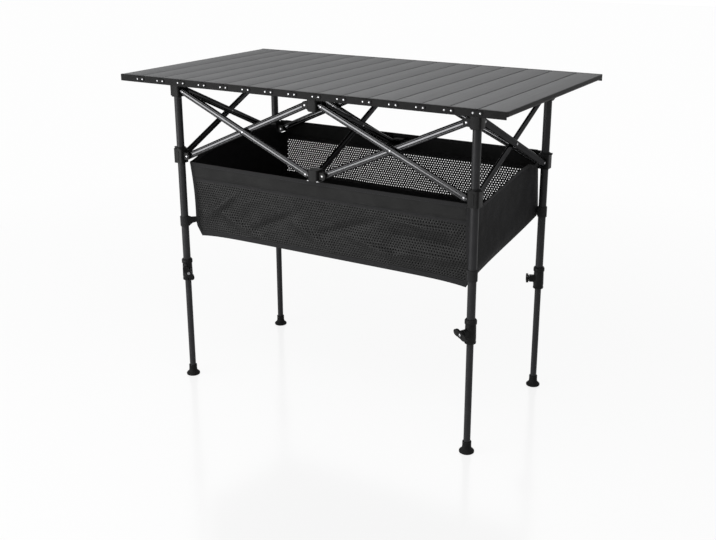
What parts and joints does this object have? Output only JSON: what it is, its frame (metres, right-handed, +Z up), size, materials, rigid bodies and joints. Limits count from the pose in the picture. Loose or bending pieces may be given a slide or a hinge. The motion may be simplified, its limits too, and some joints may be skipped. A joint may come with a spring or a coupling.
{
  "type": "folding camp table",
  "caption": "Folding camp table with a roll-up slat top on a scissor frame, a fabric storage basket under the top and telescoping legs with clamp knobs.",
  "frame": {"origin": "on the ground under the middle of the table top", "axes": "+X along the long side, +Y from the front long side to the back, +Z up"},
  "size_m": [0.9495, 0.55, 0.76],
  "materials": {
    "slat": "matte dark grey coated aluminium slat",
    "leg_tube": "semi-gloss dark grey coated tube",
    "scissor_bar": "semi-gloss dark grey coated section",
    "black_plastic": "satin moulded black nylon",
    "black_rubber": "matte black rubber",
    "basket_fabric": "black woven polyester with mesh panels"
  },
  "bodies": {
    "front_centre_top": {"front_centre_top_hub": "black_plastic"},
    "front_centre_lower": {"front_centre_lower_hub": "black_plastic", "storage_basket": "basket_fabric"},
    "back_centre_top": {"back_centre_top_hub": "black_plastic"},
    "back_centre_lower": {"back_centre_lower_hub": "black_plastic"},
    "front_left_leg": {"front_left_top_hub": "black_plastic", "front_left_upper_leg": "leg_tube"},
    "front_left_slider": {"front_left_slider": "black_plastic"},
    "front_left_lower_leg": {"front_left_lower_leg": "leg_tube", "front_left_foot": "black_rubber"},
    "front_left_knob": {"front_left_wing_knob": "black_plastic"},
    "front_right_leg": {"front_right_top_hub": "black_plastic", "front_right_upper_leg": "leg_tube"},
    "front_right_slider": {"front_right_slider": "black_plastic"},
    "front_right_lower_leg": {"front_right_lower_leg": "leg_tube", "front_right_foot": "black_rubber"},
    "front_right_knob": {"front_right_wing_knob": "black_plastic"},
    "back_right_leg": {"back_right_top_hub": "black_plastic", "back_right_upper_leg": "leg_tube"},
    "back_right_slider": {"back_right_slider": "black_plastic"},
    "back_right_lower_leg": {"back_right_lower_leg": "leg_tube", "back_right_foot": "black_rubber"},
    "back_right_knob": {"back_right_wing_knob": "black_plastic"},
    "back_left_leg": {"back_left_top_hub": "black_plastic", "back_left_upper_leg": "leg_tube"},
    "back_left_slider": {"back_left_slider": "black_plastic"},
    "back_left_lower_leg": {"back_left_lower_leg": "leg_tube", "back_left_foot": "black_rubber"},
    "back_left_knob": {"back_left_wing_knob": "black_plastic"},
    "middle_down_bar": {"middle_down_bar": "scissor_bar"},
    "middle_up_bar": {"middle_up_bar": "scissor_bar"},
    "front_left_down_bar": {"front_left_down_bar": "scissor_bar"},
    "front_left_up_bar": {"front_left_up_bar": "scissor_bar"},
    "front_right_down_bar": {"front_right_down_bar": "scissor_bar"},
    "front_right_up_bar": {"front_right_up_bar": "scissor_bar"},
    "back_left_down_bar": {"back_left_down_bar": "scissor_bar"},
    "back_left_up_bar": {"back_left_up_bar": "scissor_bar"},
    "back_right_down_bar": {"back_right_down_bar": "scissor_bar"},
    "back_right_up_bar": {"back_right_up_bar": "scissor_bar"},
    "left_side_down_bar": {"left_side_down_bar": "scissor_bar"},
    "left_side_up_bar": {"left_side_up_bar": "scissor_bar"},
    "right_side_down_bar": {"right_side_down_bar": "scissor_bar"},
    "right_side_up_bar": {"right_side_up_bar": "scissor_bar"},
    "slat_01": {"slat_01": "slat"},
    "slat_02": {"slat_02": "slat"},
    "slat_03": {"slat_03": "slat"},
    "slat_04": {"slat_04": "slat"},
    "slat_05": {"slat_05": "slat"},
    "slat_06": {"slat_06": "slat"},
    "slat_07": {"slat_07": "slat"},
    "slat_08": {"slat_08": "slat"},
    "slat_09": {"slat_09": "slat"},
    "slat_10": {"slat_10": "slat"},
    "slat_11": {"slat_11": "slat"},
    "slat_12": {"slat_12": "slat"},
    "slat_13": {"slat_13": "slat"},
    "slat_14": {"slat_14": "slat"},
    "slat_15": {"slat_15": "slat"},
    "slat_16": {"slat_16": "slat"}
  },
  "joints": [
    {"name": "frame_fold", "type": "hinge", "parent": "front_centre_top", "child": "middle_down_bar", "pos_m": [0, -0.169, 0.717], "axis": [-1, 0, 0], "range_deg": [0, 53.79], "deforming": ["storage_basket"]},
    {"name": "middle_bar_cross", "type": "hinge", "parent": "middle_down_bar", "child": "middle_up_bar", "pos_m": [0, 0, 0.641], "axis": [-1, 0, 0], "range_deg": [-107.58, 0]},
    {"name": "middle_up_bar_to_back_centre_hub", "type": "hinge", "parent": "middle_up_bar", "child": "back_centre_top", "pos_m": [0, 0.169, 0.717], "axis": [-1, 0, 0], "range_deg": [0, 53.79]},
    {"name": "middle_down_bar_to_back_centre_low", "type": "hinge", "parent": "middle_down_bar", "child": "back_centre_lower", "pos_m": [0, 0.169, 0.565], "axis": [-1, 0, 0], "range_deg": [-53.79, 0]},
    {"name": "front_left_down_bar_turn", "type": "hinge", "parent": "front_centre_top", "child": "front_left_down_bar", "pos_m": [-0.021, -0.19, 0.717], "axis": [0, -1, 0], "range_deg": [0, 53.79]},
    {"name": "front_left_bar_cross", "type": "hinge", "parent": "front_left_down_bar", "child": "front_left_up_bar", "pos_m": [-0.19, -0.19, 0.641], "axis": [0, -1, 0], "range_deg": [-107.58, 0]},
    {"name": "front_left_up_bar_to_front_left_hub", "type": "hinge", "parent": "front_left_up_bar", "child": "front_left_leg", "pos_m": [-0.359, -0.19, 0.717], "axis": [0, -1, 0], "range_deg": [0, 53.79]},
    {"name": "front_left_down_bar_to_front_left_low", "type": "hinge", "parent": "front_left_down_bar", "child": "front_left_slider", "pos_m": [-0.359, -0.19, 0.565], "axis": [0, -1, 0], "range_deg": [-53.79, 0]},
    {"name": "front_left_up_bar_to_front_centre_low", "type": "hinge", "parent": "front_left_up_bar", "child": "front_centre_lower", "pos_m": [-0.021, -0.19, 0.565], "axis": [0, -1, 0], "range_deg": [0, 53.79]},
    {"name": "front_right_down_bar_turn", "type": "hinge", "parent": "front_centre_top", "child": "front_right_down_bar", "pos_m": [0.021, -0.19, 0.717], "axis": [0, 1, 0], "range_deg": [0, 53.79]},
    {"name": "front_right_bar_cross", "type": "hinge", "parent": "front_right_down_bar", "child": "front_right_up_bar", "pos_m": [0.19, -0.19, 0.641], "axis": [0, 1, 0], "range_deg": [-107.58, 0]},
    {"name": "front_right_up_bar_to_front_right_hub", "type": "hinge", "parent": "front_right_up_bar", "child": "front_right_leg", "pos_m": [0.359, -0.19, 0.717], "axis": [0, 1, 0], "range_deg": [0, 53.79]},
    {"name": "front_right_down_bar_to_front_right_low", "type": "hinge", "parent": "front_right_down_bar", "child": "front_right_slider", "pos_m": [0.359, -0.19, 0.565], "axis": [0, 1, 0], "range_deg": [-53.79, 0]},
    {"name": "back_left_down_bar_turn", "type": "hinge", "parent": "back_centre_top", "child": "back_left_down_bar", "pos_m": [-0.021, 0.19, 0.717], "axis": [0, -1, 0], "range_deg": [0, 53.79]},
    {"name": "back_left_bar_cross", "type": "hinge", "parent": "back_left_down_bar", "child": "back_left_up_bar", "pos_m": [-0.19, 0.19, 0.641], "axis": [0, -1, 0], "range_deg": [-107.58, 0]},
    {"name": "back_left_up_bar_to_back_left_hub", "type": "hinge", "parent": "back_left_up_bar", "child": "back_left_leg", "pos_m": [-0.359, 0.19, 0.717], "axis": [0, -1, 0], "range_deg": [0, 53.79]},
    {"name": "back_left_down_bar_to_back_left_low", "type": "hinge", "parent": "back_left_down_bar", "child": "back_left_slider", "pos_m": [-0.359, 0.19, 0.565], "axis": [0, -1, 0], "range_deg": [-53.79, 0]},
    {"name": "back_right_down_bar_turn", "type": "hinge", "parent": "back_centre_top", "child": "back_right_down_bar", "pos_m": [0.021, 0.19, 0.717], "axis": [0, 1, 0], "range_deg": [0, 53.79]},
    {"name": "back_right_bar_cross", "type": "hinge", "parent": "back_right_down_bar", "child": "back_right_up_bar", "pos_m": [0.19, 0.19, 0.641], "axis": [0, 1, 0], "range_deg": [-107.58, 0]},
    {"name": "back_right_up_bar_to_back_right_hub", "type": "hinge", "parent": "back_right_up_bar", "child": "back_right_leg", "pos_m": [0.359, 0.19, 0.717], "axis": [0, 1, 0], "range_deg": [0, 53.79]},
    {"name": "back_right_down_bar_to_back_right_low", "type": "hinge", "parent": "back_right_down_bar", "child": "back_right_slider", "pos_m": [0.359, 0.19, 0.565], "axis": [0, 1, 0], "range_deg": [-53.79, 0]},
    {"name": "left_side_down_bar_turn", "type": "hinge", "parent": "front_left_leg", "child": "left_side_down_bar", "pos_m": [-0.38, -0.169, 0.717], "axis": [-1, 0, 0], "range_deg": [0, 53.79]},
    {"name": "left_side_bar_cross", "type": "hinge", "parent": "left_side_down_bar", "child": "left_side_up_bar", "pos_m": [-0.38, 0, 0.641], "axis": [-1, 0, 0], "range_deg": [-107.58, 0]},
    {"name": "right_side_down_bar_turn", "type": "hinge", "parent": "front_right_leg", "child": "right_side_down_bar", "pos_m": [0.38, -0.169, 0.717], "axis": [-1, 0, 0], "range_deg": [0, 53.79]},
    {"name": "right_side_bar_cross", "type": "hinge", "parent": "right_side_down_bar", "child": "right_side_up_bar", "pos_m": [0.38, 0, 0.641], "axis": [-1, 0, 0], "range_deg": [-107.58, 0]},
    {"name": "front_left_leg_length", "type": "slide", "parent": "front_left_leg", "child": "front_left_lower_leg", "axis": [0, 0, 1], "range_m": [0, 0.2]},
    {"name": "front_left_knob_turn", "type": "hinge", "parent": "front_left_leg", "child": "front_left_knob", "pos_m": [-0.36444, -0.20556, 0.278], "axis": [0.7071, -0.7071, 0], "range_deg": [0, 270]},
    {"name": "front_right_leg_length", "type": "slide", "parent": "front_right_leg", "child": "front_right_lower_leg", "axis": [0, 0, 1], "range_m": [0, 0.2]},
    {"name": "front_right_knob_turn", "type": "hinge", "parent": "front_right_leg", "child": "front_right_knob", "pos_m": [0.3707, -0.20994, 0.278], "axis": [-0.4226, -0.9063, 0], "range_deg": [0, 270]},
    {"name": "back_right_leg_length", "type": "slide", "parent": "back_right_leg", "child": "back_right_lower_leg", "axis": [0, 0, 1], "range_m": [0, 0.2]},
    {"name": "back_right_knob_turn", "type": "hinge", "parent": "back_right_leg", "child": "back_right_knob", "pos_m": [0.35968, 0.18158, 0.278], "axis": [-0.9239, -0.3827, 0], "range_deg": [0, 270]},
    {"name": "back_left_leg_length", "type": "slide", "parent": "back_left_leg", "child": "back_left_lower_leg", "axis": [0, 0, 1], "range_m": [0, 0.2]},
    {"name": "back_left_knob_turn", "type": "hinge", "parent": "back_left_leg", "child": "back_left_knob", "pos_m": [-0.39556, 0.20556, 0.278], "axis": [-0.7071, 0.7071, 0], "range_deg": [0, 270]},
    {"name": "top_lift", "type": "slide", "parent": "front_centre_top", "child": "slat_01", "axis": [0, 0, 1], "range_m": [0, 0.3]},
    {"name": "top_roll_1", "type": "hinge", "parent": "slat_01", "child": "slat_02", "pos_m": [-0.41563, 0, 0.76], "axis": [0, -1, 0], "range_deg": [0, 38.5]},
    {"name": "slat_link_02", "type": "hinge", "parent": "slat_02", "child": "slat_03", "pos_m": [-0.35625, 0, 0.76], "axis": [0, -1, 0], "range_deg": [0, 39.71]},
    {"name": "slat_link_03", "type": "hinge", "parent": "slat_03", "child": "slat_04", "pos_m": [-0.29688, 0, 0.76], "axis": [0, -1, 0], "range_deg": [0, 41.01]},
    {"name": "slat_link_04", "type": "hinge", "parent": "slat_04", "child": "slat_05", "pos_m": [-0.2375, 0, 0.76], "axis": [0, -1, 0], "range_deg": [0, 42.31]},
    {"name": "top_roll_2", "type": "hinge", "parent": "slat_05", "child": "slat_06", "pos_m": [-0.17813, 0, 0.76], "axis": [0, -1, 0], "range_deg": [0, 43.9]},
    {"name": "slat_link_06", "type": "hinge", "parent": "slat_06", "child": "slat_07", "pos_m": [-0.11875, 0, 0.76], "axis": [0, -1, 0], "range_deg": [0, 45.61]},
    {"name": "slat_link_07", "type": "hinge", "parent": "slat_07", "child": "slat_08", "pos_m": [-0.05937, 0, 0.76], "axis": [0, -1, 0], "range_deg": [0, 47.61]},
    {"name": "top_roll_3", "type": "hinge", "parent": "slat_08", "child": "slat_09", "pos_m": [0, 0, 0.76], "axis": [0, -1, 0], "range_deg": [0, 49.8]},
    {"name": "slat_link_09", "type": "hinge", "parent": "slat_09", "child": "slat_10", "pos_m": [0.05937, 0, 0.76], "axis": [0, -1, 0], "range_deg": [0, 52.41]},
    {"name": "slat_link_10", "type": "hinge", "parent": "slat_10", "child": "slat_11", "pos_m": [0.11875, 0, 0.76], "axis": [0, -1, 0], "range_deg": [0, 55.51]},
    {"name": "top_roll_4", "type": "hinge", "parent": "slat_11", "child": "slat_12", "pos_m": [0.17813, 0, 0.76], "axis": [0, -1, 0], "range_deg": [0, 59.1]},
    {"name": "slat_link_12", "type": "hinge", "parent": "slat_12", "child": "slat_13", "pos_m": [0.2375, 0, 0.76], "axis": [0, -1, 0], "range_deg": [0, 63.71]},
    {"name": "top_roll_5", "type": "hinge", "parent": "slat_13", "child": "slat_14", "pos_m": [0.29688, 0, 0.76], "axis": [0, -1, 0], "range_deg": [0, 69.7]},
    {"name": "slat_link_14", "type": "hinge", "parent": "slat_14", "child": "slat_15", "pos_m": [0.35625, 0, 0.76], "axis": [0, -1, 0], "range_deg": [0, 77.91]},
    {"name": "top_roll_6", "type": "hinge", "parent": "slat_15", "child": "slat_16", "pos_m": [0.41563, 0, 0.76], "axis": [0, -1, 0], "range_deg": [0, 90.6]}
  ],
  "couplings": [
    {"joint": "middle_bar_cross", "follows": "frame_fold", "ratio": -2},
    {"joint": "middle_up_bar_to_back_centre_hub", "follows": "frame_fold", "ratio": 1},
    {"joint": "middle_down_bar_to_back_centre_low", "follows": "frame_fold", "ratio": -1},
    {"joint": "front_left_down_bar_turn", "follows": "frame_fold", "ratio": 1},
    {"joint": "front_left_bar_cross", "follows": "frame_fold", "ratio": -2},
    {"joint": "front_left_up_bar_to_front_left_hub", "follows": "frame_fold", "ratio": 1},
    {"joint": "front_left_down_bar_to_front_left_low", "follows": "frame_fold", "ratio": -1},
    {"joint": "front_left_up_bar_to_front_centre_low", "follows": "frame_fold", "ratio": 1},
    {"joint": "front_right_down_bar_turn", "follows": "frame_fold", "ratio": 1},
    {"joint": "front_right_bar_cross", "follows": "frame_fold", "ratio": -2},
    {"joint": "front_right_up_bar_to_front_right_hub", "follows": "frame_fold", "ratio": 1},
    {"joint": "front_right_down_bar_to_front_right_low", "follows": "frame_fold", "ratio": -1},
    {"joint": "back_left_down_bar_turn", "follows": "frame_fold", "ratio": 1},
    {"joint": "back_left_bar_cross", "follows": "frame_fold", "ratio": -2},
    {"joint": "back_left_up_bar_to_back_left_hub", "follows": "frame_fold", "ratio": 1},
    {"joint": "back_left_down_bar_to_back_left_low", "follows": "frame_fold", "ratio": -1},
    {"joint": "back_right_down_bar_turn", "follows": "frame_fold", "ratio": 1},
    {"joint": "back_right_bar_cross", "follows": "frame_fold", "ratio": -2},
    {"joint": "back_right_up_bar_to_back_right_hub", "follows": "frame_fold", "ratio": 1},
    {"joint": "back_right_down_bar_to_back_right_low", "follows": "frame_fold", "ratio": -1},
    {"joint": "left_side_down_bar_turn", "follows": "frame_fold", "ratio": 1},
    {"joint": "left_side_bar_cross", "follows": "frame_fold", "ratio": -2},
    {"joint": "right_side_down_bar_turn", "follows": "frame_fold", "ratio": 1},
    {"joint": "right_side_bar_cross", "follows": "frame_fold", "ratio": -2},
    {"joint": "slat_link_02", "follows": "top_roll_1", "ratio": 1.0312},
    {"joint": "slat_link_03", "follows": "top_roll_1", "ratio": 1.0649},
    {"joint": "slat_link_04", "follows": "top_roll_1", "ratio": 1.0987},
    {"joint": "slat_link_06", "follows": "top_roll_2", "ratio": 1.0387},
    {"joint": "slat_link_07", "follows": "top_roll_2", "ratio": 1.0843},
    {"joint": "slat_link_09", "follows": "top_roll_3", "ratio": 1.0522},
    {"joint": "slat_link_10", "follows": "top_roll_3", "ratio": 1.1145},
    {"joint": "slat_link_12", "follows": "top_roll_4", "ratio": 1.0778},
    {"joint": "slat_link_14", "follows": "top_roll_5", "ratio": 1.1176}
  ]
}
